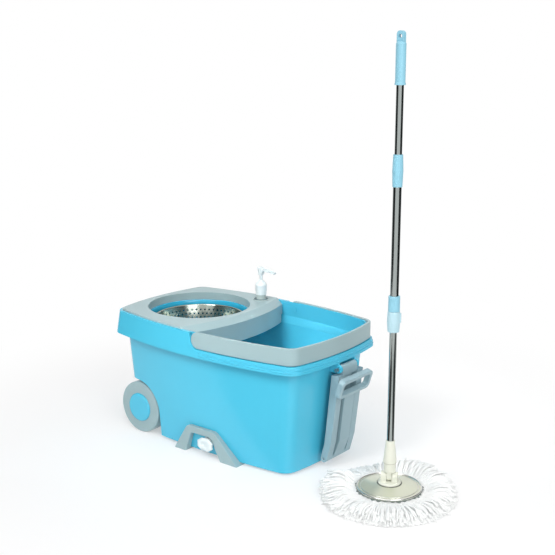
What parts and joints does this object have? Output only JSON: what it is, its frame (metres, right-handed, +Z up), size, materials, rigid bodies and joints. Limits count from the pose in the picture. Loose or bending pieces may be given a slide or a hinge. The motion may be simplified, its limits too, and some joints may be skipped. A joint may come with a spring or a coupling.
{
  "type": "spin mop",
  "caption": "Wheeled spin mop bucket with a perforated steel basket, folding pull handle, carry handle, drain and soap pump, and a telescopic twist-drive mop with a round yarn head.",
  "frame": {"origin": "on the floor under the middle of the set's overall box, bucket and standing mop together", "axes": "+Z up, +X along the bucket from its wheels to its pull handle and on to the mop, +Y from the drain side to the soap pump's side"},
  "size_m": [0.899, 0.3957, 0.949],
  "materials": {
    "tub_plastic": "smooth moulded polypropylene",
    "grey_plastic": "fine matt moulded polypropylene",
    "pull_plastic": "fine matt moulded polypropylene",
    "hub_plastic": "plain moulded acetal",
    "white_plastic": "smooth moulded polypropylene",
    "bottle_plastic": "natural blow-moulded polyethylene",
    "socket_plastic": "smooth moulded polypropylene",
    "grip_plastic": "smooth moulded polypropylene",
    "seal_rubber": "moulded rubber",
    "steel_wire": "drawn steel",
    "basket_steel": "polished pressed stainless steel",
    "disc_steel": "brushed pressed stainless steel",
    "tube_steel": "bright rolled steel tube",
    "yarn": "looped microfibre yarn"
  },
  "bodies": {
    "bucket": {"bucket_tub": "tub_plastic", "basket_deck": "grey_plastic", "side_foot_front": "grey_plastic", "side_foot_rear": "grey_plastic", "wheel_axle": "steel_wire", "axle_clips": "steel_wire", "basket_spindle": "steel_wire", "handle_pivot_pins": "tub_plastic", "pull_hinge_pin": "steel_wire", "soap_bottle": "bottle_plastic", "pump_collar": "white_plastic", "pump_barrel": "white_plastic", "dip_tube": "white_plastic"},
    "front_wheel": {"wheel_front": "grey_plastic", "wheel_cap_front": "tub_plastic"},
    "rear_wheel": {"wheel_rear": "grey_plastic", "wheel_cap_rear": "tub_plastic"},
    "basket": {"spin_basket": "basket_steel", "basket_hub": "hub_plastic", "basket_bush": "hub_plastic"},
    "carry_bail": {"carry_handle": "grey_plastic"},
    "pull_frame_body": {"pull_frame": "pull_plastic", "pull_fold_pin": "steel_wire"},
    "pull_grip_body": {"pull_arm": "pull_plastic"},
    "drain": {"drain_knob": "white_plastic", "drain_seal": "seal_rubber"},
    "pump": {"pump_head": "white_plastic"},
    "mop_head": {"mop_yarn": "yarn", "mop_disc": "disc_steel", "mop_clip_plate": "white_plastic", "mop_yoke": "socket_plastic", "tilt_pin": "steel_wire"},
    "mop_shaft": {"mop_socket": "socket_plastic", "lower_tube": "tube_steel", "drive_nut": "white_plastic"},
    "mop_guide": {"guide_bush": "white_plastic"},
    "mop_handle": {"middle_tube": "tube_steel", "collar_upper": "grip_plastic", "drive_screw": "steel_wire", "screw_plug": "white_plastic"},
    "mop_lock": {"lock_collar": "grip_plastic"},
    "mop_length_lock": {"length_sleeve": "grip_plastic"},
    "mop_top": {"upper_tube": "tube_steel", "hand_grip": "grip_plastic"}
  },
  "joints": [
    {"name": "front_wheel_spin", "type": "hinge", "parent": "bucket", "child": "front_wheel", "pos_m": [-0.364, -0.115, 0.063], "axis": [0, 1, 0], "continuous": true},
    {"name": "rear_wheel_spin", "type": "hinge", "parent": "bucket", "child": "rear_wheel", "pos_m": [-0.364, 0.137, 0.063], "axis": [0, 1, 0], "continuous": true},
    {"name": "basket_spin", "type": "hinge", "parent": "bucket", "child": "basket", "pos_m": [-0.293, 0.011, 0.178], "axis": [0, 0, 1], "continuous": true},
    {"name": "carry_handle_lift", "type": "hinge", "parent": "bucket", "child": "carry_bail", "pos_m": [-0.13, 0.011, 0.284], "axis": [0, -1, 0], "range_deg": [0, 100]},
    {"name": "pull_frame_swing", "type": "hinge", "parent": "bucket", "child": "pull_frame_body", "pos_m": [0.141, 0.023, 0.233], "axis": [0, -1, 0], "range_deg": [0, 120]},
    {"name": "pull_arm_fold", "type": "hinge", "parent": "pull_frame_body", "child": "pull_grip_body", "pos_m": [0.113, 0.023, 0.021], "axis": [0, 1, 0], "range_deg": [0, 180]},
    {"name": "drain_turn", "type": "hinge", "parent": "bucket", "child": "drain", "pos_m": [-0.129, -0.141, 0.033], "axis": [0, -1, 0], "range_deg": [0, 90]},
    {"name": "pump_press", "type": "slide", "parent": "bucket", "child": "pump", "axis": [0, 0, -1], "range_m": [0, 0.012], "stiffness_N_per_m": 250, "springref_m": -0.008},
    {"name": "mop_lift", "type": "slide", "parent": "bucket", "child": "mop_head", "axis": [0, 0, 1], "range_m": [0, 0.45]},
    {"name": "mop_tilt", "type": "hinge", "parent": "mop_head", "child": "mop_shaft", "pos_m": [0.307, -0.055, 0.047], "axis": [0.9063, 0.4226, 0], "range_deg": [-45, 45]},
    {"name": "mop_press", "type": "slide", "parent": "mop_shaft", "child": "mop_guide", "axis": [0, 0, -1], "range_m": [0, 0.12]},
    {"name": "mop_spin", "type": "hinge", "parent": "mop_guide", "child": "mop_handle", "pos_m": [0.307, -0.055, 0.38], "axis": [0, 0, -1], "range_deg": [0, 360]},
    {"name": "handle_extension", "type": "slide", "parent": "mop_handle", "child": "mop_top", "axis": [0, 0, 1], "range_m": [0, 0.08]},
    {"name": "lock_collar_twist", "type": "hinge", "parent": "mop_handle", "child": "mop_lock", "pos_m": [0.307, -0.055, 0.377], "axis": [0, 0, 1], "range_deg": [0, 60]},
    {"name": "length_sleeve_twist", "type": "hinge", "parent": "mop_handle", "child": "mop_length_lock", "pos_m": [0.307, -0.055, 0.684], "axis": [0, 0, 1], "range_deg": [0, 60]}
  ],
  "couplings": [
    {"joint": "pull_arm_fold", "follows": "pull_frame_swing", "ratio": 1.5},
    {"joint": "mop_spin", "follows": "mop_press", "rad_per_m": 52.36}
  ]
}
